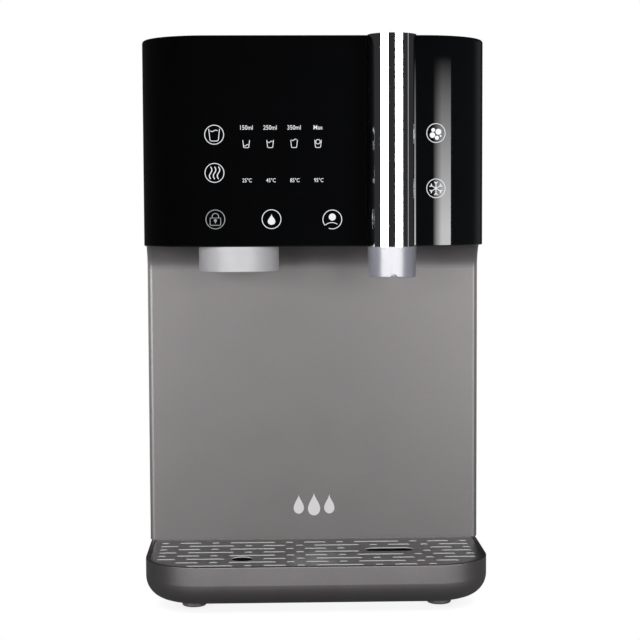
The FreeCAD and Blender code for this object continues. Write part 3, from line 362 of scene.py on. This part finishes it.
def copper():
    """Copper tube, dulled unevenly."""
    material, tree, shader = new_material("copper", (0.72, 0.38, 0.24), 0.3, 1.0)
    tint(tree, shader, noise(tree, 9 * MM, 5), (0.5, 0.24, 0.15), (0.8, 0.45, 0.3))
    tree.links.new(spread(tree, noise(tree, 5 * MM, 5), 0.22, 0.42), shader.inputs["Roughness"])
    bump(tree, shader, noise(tree, 1 * MM, 3), 0.01 * MM)
    return material


def foam():
    """Closed-cell insulation."""
    material, tree, shader = new_material("foam", (0.72, 0.7, 0.62), 0.85)
    tint(tree, shader, noise(tree, 5 * MM, 5), (0.62, 0.6, 0.52), (0.78, 0.76, 0.68))
    bump(tree, shader, cells(tree, 1.6 * MM, "F1", "Distance"), 0.25 * MM)
    return material


def clear_hose():
    material, tree, shader = new_material("hose", (0.75, 0.78, 0.8), 0.3)
    tint(tree, shader, noise(tree, 15 * MM, 3), (0.68, 0.71, 0.74), (0.8, 0.83, 0.85))
    set_input(shader, "Transmission Weight", 0.35)
    bump(tree, shader, noise(tree, 2 * MM, 2), 0.01 * MM)
    return material


def printed(name, tone, glow):
    """Ink of one light tone, slightly mottled; glow is the strength of the light behind it."""
    material, tree, shader = new_material(name, scaled((1, 1, 1), tone), 0.4)
    tint(tree, shader, noise(tree, 2 * MM, 2), scaled((1, 1, 1), tone * 0.95), scaled((1, 1, 1), tone))
    set_input(shader, "Emission Color", (0.94, 0.97, 1.0, 1))
    set_input(shader, "Emission Strength", glow)
    return material


GREY = (0.125, 0.118, 0.119)
FINISHES = {
    "head_gloss": gloss_black(),
    "body_paint": satin_paint("body_paint", GREY, 0.42, 0.55),
    "base_plastic": satin_paint("base_paint", scaled(GREY, 1.3), 0.38, 0.88),
    "black_plastic": moulded("black_plastic", (0.012, 0.012, 0.013), 0.45),
    "chrome": polished_chrome(),
    "frosted": frosted("frosted_sleeve", (0.14, 0.14, 0.165), 0.32, 1.0),
    # the grille's pale second colour is the painted highlight on its slot edges
    "grille_steel": cut_steel("grille_steel", (0.29, 0.29, 0.295), (0.55, 0.55, 0.56), 0.3),
    "stainless": brushed("stainless", (0.6, 0.6, 0.6), 0.28),
    "rubber": rubber(),
    "galvanised": galvanised(),
    "circuit_board": circuit_board(),
    "black_enamel": enamel(),
    "aluminium": brushed("aluminium", (0.72, 0.72, 0.73), 0.32),
    "copper": copper(),
    "foam": foam(),
    "white_plastic": moulded("white_plastic", (0.75, 0.76, 0.77), 0.38),
    "hose": clear_hose(),
}
NODE_FINISHES = {
    "feet": moulded("feet_rubber", (0.07, 0.068, 0.069), 0.4),
    "spout_guard": frosted("frosted_guard", (0.25, 0.245, 0.255), 0.5, 0.6),
}
LIT_PRINT = printed("lit_print", 0.1, 0.7)
DIM_PRINT = printed("dim_print", 0.06, 0.24)
EMBLEM_INK = printed("emblem_ink", 0.46, 0.0)


def finish_nodes():
    """Give every CAD node the finish of its slot, or its own."""
    for part in frame["record"]["subparts"]:
        node = NODES[part["node"]]
        finish = NODE_FINISHES.get(part["node"], FINISHES[part["material_slot"]])
        node.data.materials.clear()
        node.data.materials.append(finish)


# ---- Printed icons and labels ------------------------------------------------------------
def face_y(x):
    """The head's front face at x: flat, then round the corner."""
    past = abs(x) - (HEAD_HALF - HEAD_CORNER)
    if past <= 0:
        return HEAD_FACE
    return HEAD_FACE + HEAD_CORNER - math.sqrt(HEAD_CORNER ** 2 - past ** 2)


def lay_on_head(mesh, x, z):
    """Turn a flat drawing, whose depth is its third coordinate, onto the head's face."""
    for vertex in mesh.vertices:
        u, v, depth = vertex.co
        vertex.co = (x + u, face_y(x + u) - depth, z + v)


def lay_on_cabinet(mesh, x, z):
    for vertex in mesh.vertices:
        u, v, depth = vertex.co
        vertex.co = (x + u, CABINET_FACE - depth, z + v)


def mesh_of(curve_data):
    holder = bpy.data.objects.new("drawing", curve_data)
    bpy.context.scene.collection.objects.link(holder)
    bpy.context.view_layer.update()
    evaluated = holder.evaluated_get(bpy.context.evaluated_depsgraph_get())
    mesh = bpy.data.meshes.new_from_object(evaluated)
    bpy.data.objects.remove(holder)
    return mesh


def add_spline(curve, points, closed):
    spline = curve.splines.new("POLY")
    spline.points.add(len(points) - 1)
    for target, (u, v) in zip(spline.points, points):
        target.co = (u, v, 0, 1)
    spline.use_cyclic_u = closed


def stroke_mesh(lines, width):
    """Round lines of one width, pressed flat to the print's thickness."""
    curve = bpy.data.curves.new("strokes", "CURVE")
    curve.dimensions = "3D"
    curve.bevel_depth = width / 2
    curve.bevel_resolution = 2
    curve.use_fill_caps = True
    for points, closed in lines:
        add_spline(curve, points, closed)
    mesh = mesh_of(curve)
    for vertex in mesh.vertices:
        vertex.co.z *= PRINT_THICK / (width / 2)
    return mesh


def filled_mesh(outlines):
    """Filled shapes as thick as the print."""
    curve = bpy.data.curves.new("fills", "CURVE")
    curve.dimensions = "2D"
    curve.fill_mode = "BOTH"
    curve.extrude = PRINT_THICK
    for points in outlines:
        add_spline(curve, points, True)
    return mesh_of(curve)


def text_mesh(words, size, narrow):
    """Words a little condensed and a little bold."""
    text = bpy.data.curves.new("words", "FONT")
    text.body = words
    text.size = size
    text.align_x = "CENTER"
    text.align_y = "CENTER"
    text.offset = size * TEXT_BOLD
    text.extrude = PRINT_THICK
    mesh = mesh_of(text)
    for vertex in mesh.vertices:
        vertex.co.x *= narrow
    return mesh


def join_meshes(name, meshes, lay, x, z, material):
    """One printed piece from several flat drawings, laid on a face."""
    drawings = []
    for mesh in meshes:
        lay(mesh, x, z)
        drawing = bpy.data.objects.new(name + "_part", mesh)
        bpy.context.scene.collection.objects.link(drawing)
        drawings.append(drawing)
    piece = drawings[0]
    if len(drawings) > 1:
        with bpy.context.temp_override(active_object=piece, selected_editable_objects=drawings):
            bpy.ops.object.join()
    piece.name = name
    piece.data.materials.clear()
    piece.data.materials.append(material)
    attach(piece, "cabinet")


def arc(radius, start, end, u=0.0, v=0.0, steps=48):
    """Points of an arc between two angles in degrees."""
    points = []
    for index in range(steps + 1):
        angle = math.radians(start + (end - start) * index / steps)
        points.append((u + radius * math.cos(angle), v + radius * math.sin(angle)))
    return points


def circle(radius, u=0.0, v=0.0, steps=48):
    return arc(radius, 0, 360, u, v, steps)[:-1]


def sized(points, scale):
    return [(u * scale, v * scale) for u, v in points]


def ripple(left, right, level, height):
    """A small wave across a cup."""
    points = []
    for index in range(13):
        share = index / 12
        points.append((left + (right - left) * share, level - height * math.sin(2 * math.pi * share)))
    return points


def drop_outline(half_width, tip, bottom):
    """A drop: a round belly drawn up to a point."""
    points = []
    for index in range(DROP_STEPS):
        angle = 2 * math.pi * index / DROP_STEPS
        along = (1 - math.cos(angle)) / 2
        belly = math.sin(angle) * math.sin(math.pi * along / 2) ** DROP_POINT
        points.append((half_width * DROP_WIDEN * belly, tip + (bottom - tip) * along))
    return points


def cup_lines():
    """Tapered cup with soft lower corners."""
    return [(-0.55, 0.59), (-0.43, -0.5), (-0.38, -0.6), (-0.28, -0.64), (0.28, -0.64),
            (0.38, -0.6), (0.43, -0.5), (0.55, 0.59)]


def icon(name, x, z, lines=(), fills=(), material=LIT_PRINT, line=ICON_LINE, ring=True):
    """A ring with a drawing inside it, given in units of the ring's radius."""
    height = HEAD_UNDER + z
    strokes = [(sized(points, ICON_R), closed) for points, closed in lines]
    meshes = []
    if ring:
        meshes.append(stroke_mesh([(circle(ICON_R - ICON_LINE / 2), True)], ICON_LINE))
    if strokes:
        meshes.append(stroke_mesh(strokes, line))
    if fills:
        meshes.append(filled_mesh([sized(points, ICON_R) for points in fills]))
    join_meshes("icon_" + name, meshes, lay_on_head, x, height, material)


def heat_wave(middle):
    points = []
    for index in range(17):
        v = 0.62 - 1.24 * index / 16
        points.append((middle + 0.13 * math.sin(math.pi * (1 - v / 0.62)), v))
    return points


def snow_arms():
    """Six arms, each with two short barbs."""
    lines = []
    for index in range(6):
        turn = Matrix.Rotation(math.radians(60 * index), 2)
        for points in (((0, 0), (0, 0.66)), ((-0.17, 0.68), (0, 0.46), (0.17, 0.68))):
            lines.append(([tuple(turn @ Vector(point)) for point in points], False))
    return lines


def add_icons():
    cup = [(cup_lines(), False), (ripple(-0.4, 0.36, 0.39, 0.07), False)]
    icon("cup", LEFT_ICON_X, CUP_ROW, cup)
    icon("heat", LEFT_ICON_X, HEAT_ROW, [(heat_wave(u), False) for u in (-0.39, 0.01, 0.41)],
         line=HEAT_LINE)
    body = [(-0.54, 0.14), (0.54, 0.14), (0.54, -0.52), (0.46, -0.6), (-0.46, -0.6), (-0.54, -0.52)]
    shackle = [(-0.33, 0.14)] + arc(0.33, 180, 0, 0, 0.28, 16) + [(0.33, 0.14)]
    icon("lock", LOCK_X, LOW_ROW,
         [(body, True), (shackle, False), ([(0, -0.1), (0, -0.4)], False)],
         [circle(0.15, 0, -0.12, 20)], DIM_PRINT)
    icon("drop", DROP_ICON_X, LOW_ROW, fills=[drop_outline(0.4, 0.53, -0.57)])
    shoulders = arc(1.0, 132, 56, -0.05, -1.32, 20)
    open_ring = arc(1 - ICON_LINE / ICON_R / 2, 248 - 360, 218, steps=44)
    icon("custom", CUSTOM_ICON_X, CUSTOM_ROW, [(open_ring, False), (shoulders, False)],
         [circle(0.36, 0, 0.24, 32)], ring=False)
    bubbles = ((-0.29, 0.31, 0.2), (0.25, 0.13, 0.3), (-0.37, -0.21, 0.28), (0.09, -0.48, 0.21),
               (0.48, -0.29, 0.1))
    icon("bubbles", RIGHT_ICON_X, BUBBLE_ROW, fills=[circle(r, u, v, 28) for u, v, r in bubbles])
    icon("snowflake", RIGHT_ICON_X, SNOW_ROW, snow_arms(), line=SNOW_LINE)


def add_labels():
    """Volumes over small cups, and the temperatures below them."""
    for index, (volume, degrees, level) in enumerate(zip(VOLUMES, DEGREES, LEVELS)):
        x = FIRST_LABEL_X + index * LABEL_PITCH
        join_meshes("label_volume_%d" % (index + 1), [text_mesh(volume, VOLUME_SIZE, VOLUME_NARROW)],
                    lay_on_head, x, HEAD_UNDER + VOLUME_ROW, LIT_PRINT)
        join_meshes("label_degrees_%d" % (index + 1), [text_mesh(degrees, DEGREE_SIZE, DEGREE_NARROW)],
                    lay_on_head, x + DEGREE_SHIFT, HEAD_UNDER + DEGREE_ROW, LIT_PRINT)
        lines = [(sized(cup_lines(), SMALL_CUP), False)]
        if level is None:
            lines.append((sized(circle(0.36, 0, 0.3, 24), SMALL_CUP), True))
        else:
            lines.append((sized(ripple(-0.42, 0.42, level, 0.12), SMALL_CUP), False))
        join_meshes("level_cup_%d" % (index + 1), [stroke_mesh(lines, SMALL_CUP_LINE)],
                    lay_on_head, x, HEAD_UNDER + LEVEL_ROW, LIT_PRINT)


def add_emblem():
    """Plain emblem of three drops, printed on the cabinet."""
    outlines = []
    for side, size in ((-1, EMBLEM_SIDE), (0, 1.0), (1, EMBLEM_SIDE)):
        drop = drop_outline(0.54 * size, size, -size)
        middle = side * EMBLEM_PITCH
        outlines.append([(u * EMBLEM_DROP + middle, v * EMBLEM_DROP) for u, v in drop])
    drops = filled_mesh(outlines)
    join_meshes("emblem", [drops], lay_on_cabinet, 0, EMBLEM_Z, EMBLEM_INK)


# ---- Studio ------------------------------------------------------------------------------
def softbox(name, start, end, low, high, radiance, away=SOFTBOX_AWAY, middle=COLUMN_X):
    """Upright soft light that spans start to end degrees round a point of the head's front plane."""
    angle = math.radians((start + end) / 2)
    light = bpy.data.lights.new(name, "AREA")
    light.shape = "RECTANGLE"
    light.size = 2 * away * math.tan(math.radians(end - start) / 2)
    light.size_y = high - low
    light.energy = radiance * math.pi * light.size * light.size_y
    lamp = bpy.data.objects.new(name, light)
    bpy.context.scene.collection.objects.link(lamp)
    across = away * math.sin(angle)
    lamp.location = (middle + across, HEAD_FACE - away * math.cos(angle), (low + high) / 2)
    lamp.rotation_euler = (math.pi / 2, 0, angle)
    lamp.visible_camera = False
    return lamp


def fade(lamp, across, upward):
    """Dim a soft light towards two of its edges; each pair is where it is dark and where full."""
    lamp.data.use_nodes = True
    nodes, links = lamp.data.node_tree.nodes, lamp.data.node_tree.links
    glow = nodes["Emission"]
    spot = nodes.new("ShaderNodeNewGeometry")
    parts = nodes.new("ShaderNodeSeparateXYZ")
    links.new(spot.outputs["Parametric"], parts.inputs[0])
    strengths = []
    for socket, (dark, full) in zip(parts.outputs, (across, upward)):
        ramp = nodes.new("ShaderNodeMapRange")
        set_input(ramp, "From Min", dark)
        set_input(ramp, "From Max", full)
        links.new(socket, ramp.inputs["Value"])
        strengths.append(ramp.outputs["Result"])
    product = nodes.new("ShaderNodeMath")
    product.operation = "MULTIPLY"
    links.new(strengths[0], product.inputs[0])
    links.new(strengths[1], product.inputs[1])
    links.new(product.outputs[0], glow.inputs["Strength"])


def link_light(lamp, names, state):
    """Let a light reach only these nodes (INCLUDE), or all but these (EXCLUDE)."""
    group = bpy.data.collections.new(lamp.name + "_pieces")
    for name in names:
        group.objects.link(NODES[name])
    for member in group.collection_objects:
        member.light_linking.link_state = state
    lamp.light_linking.receiver_collection = group


def facing_light(name, x, y, z, size, radiance):
    """Square soft light that faces the middle of the object."""
    light = bpy.data.lights.new(name, "AREA")
    light.size = size
    light.energy = radiance * math.pi * size * size
    lamp = bpy.data.objects.new(name, light)
    bpy.context.scene.collection.objects.link(lamp)
    lamp.location = (x, y, z)
    towards = AIM - lamp.location
    lamp.rotation_euler = towards.to_track_quat("-Z", "Y").to_euler()
    return lamp


def light_world():
    """White where the camera looks past the object, dim in reflections."""
    world = bpy.data.worlds.new("studio")
    bpy.context.scene.world = world
    world.use_nodes = True
    nodes, links = world.node_tree.nodes, world.node_tree.links
    nodes.clear()
    paths = nodes.new("ShaderNodeLightPath")
    seen = nodes.new("ShaderNodeBackground")
    room = nodes.new("ShaderNodeBackground")
    mix = nodes.new("ShaderNodeMixShader")
    output = nodes.new("ShaderNodeOutputWorld")
    set_input(seen, "Color", (1, 1, 1, 1))
    set_input(room, "Color", ROOM)
    links.new(paths.outputs["Is Camera Ray"], mix.inputs[0])
    links.new(room.outputs[0], mix.inputs[1])
    links.new(seen.outputs[0], mix.inputs[2])
    links.new(mix.outputs[0], output.inputs["Surface"])


def floor_material():
    """White to the camera and darker where the object stands; dull in reflections."""
    material = bpy.data.materials.new("floor")
    material.use_nodes = True
    nodes, links = material.node_tree.nodes, material.node_tree.links
    nodes.clear()
    paths = nodes.new("ShaderNodeLightPath")
    shade = nodes.new("ShaderNodeAmbientOcclusion")
    set_input(shade, "Distance", CONTACT_REACH)
    tone = nodes.new("ShaderNodeMapRange")
    set_input(tone, "To Min", CONTACT_TONE)
    set_input(tone, "To Max", 1.0)
    glow = nodes.new("ShaderNodeEmission")
    dull = nodes.new("ShaderNodeBsdfDiffuse")
    set_input(dull, "Color", FLOOR_DULL)
    mix = nodes.new("ShaderNodeMixShader")
    output = nodes.new("ShaderNodeOutputMaterial")
    links.new(shade.outputs["AO"], tone.inputs["Value"])
    links.new(tone.outputs["Result"], glow.inputs["Strength"])
    links.new(paths.outputs["Is Camera Ray"], mix.inputs[0])
    links.new(dull.outputs[0], mix.inputs[1])
    links.new(glow.outputs[0], mix.inputs[2])
    links.new(mix.outputs[0], output.inputs["Surface"])
    return material


def add_floor():
    half = FLOOR_HALF
    mesh = bpy.data.meshes.new("floor")
    corners = [(-half, -half, 0), (half, -half, 0), (half, half, 0), (-half, half, 0)]
    mesh.from_pydata(corners, [], [(0, 1, 2, 3)])
    floor = bpy.data.objects.new("floor", mesh)
    bpy.context.scene.collection.objects.link(floor)
    mesh.materials.append(floor_material())


def add_camera():
    data = bpy.data.cameras.new("camera")
    data.lens = CAMERA_LENS
    data.sensor_width = CAMERA_SENSOR
    data.clip_end = 50
    camera = bpy.data.objects.new("camera", data)
    bpy.context.scene.collection.objects.link(camera)
    turn = Euler((math.pi / 2 - CAMERA_PITCH, 0, -CAMERA_YAW)).to_matrix()
    turn = turn @ Matrix.Rotation(CAMERA_ROLL, 3, "Z")
    camera.matrix_world = turn.to_4x4()
    camera.location = (CAMERA_X, CABINET_FACE - CAMERA_AWAY, CAMERA_HEIGHT)
    bpy.context.scene.camera = camera


def light_head():
    """A faded strip for the head's right-hand corner, and a faint one for its edge."""
    strip = softbox("head_strip", start=21.4, end=57.2, low=0.2, high=0.452, radiance=13.2,
                    away=STRIP_AWAY, middle=STRIP_X)
    fade(strip, across=(0.0, 0.48), upward=(1.0, 0.35))
    edge = softbox("head_edge", start=110, end=142, low=0.0, high=STUDIO_TOP, radiance=0.08)
    fade(edge, across=(0.0, 0.5), upward=(-1.0, 0.0))
    for lamp in (strip, edge):
        link_light(lamp, ["head_shell"], "INCLUDE")


def light_grille():
    """High light that brings out the grille's cut edges and makes no glare on the plate."""
    lamp = softbox("grille_light", start=-40, end=40, low=1.2, high=2.2, radiance=10.0)
    lamp.visible_glossy = False
    link_light(lamp, ["drip_grille"], "INCLUDE")


def add_lights():
    """Two tall keys in front, fills for single nodes, and a ring of soft lights round the back."""
    light_world()
    for name, start, end in KEYS:
        link_light(softbox(name, start, end, 0.0, STUDIO_TOP, KEY_RADIANCE), KEYLESS, "EXCLUDE")
    light_head()
    light_grille()
    for name, start, end, low, high, radiance, reached in FILLS:
        link_light(softbox(name, start, end, low, high, radiance), reached, "INCLUDE")
    for name, x, y, z, size, radiance in REAR_LIGHTS:
        link_light(facing_light(name, x, y, z, size, radiance), FRONT_NODES, "EXCLUDE")


bpy.context.scene.view_settings.view_transform = "Standard"
finish_nodes()
add_icons()
add_labels()
add_emblem()
add_floor()
add_lights()
add_camera()
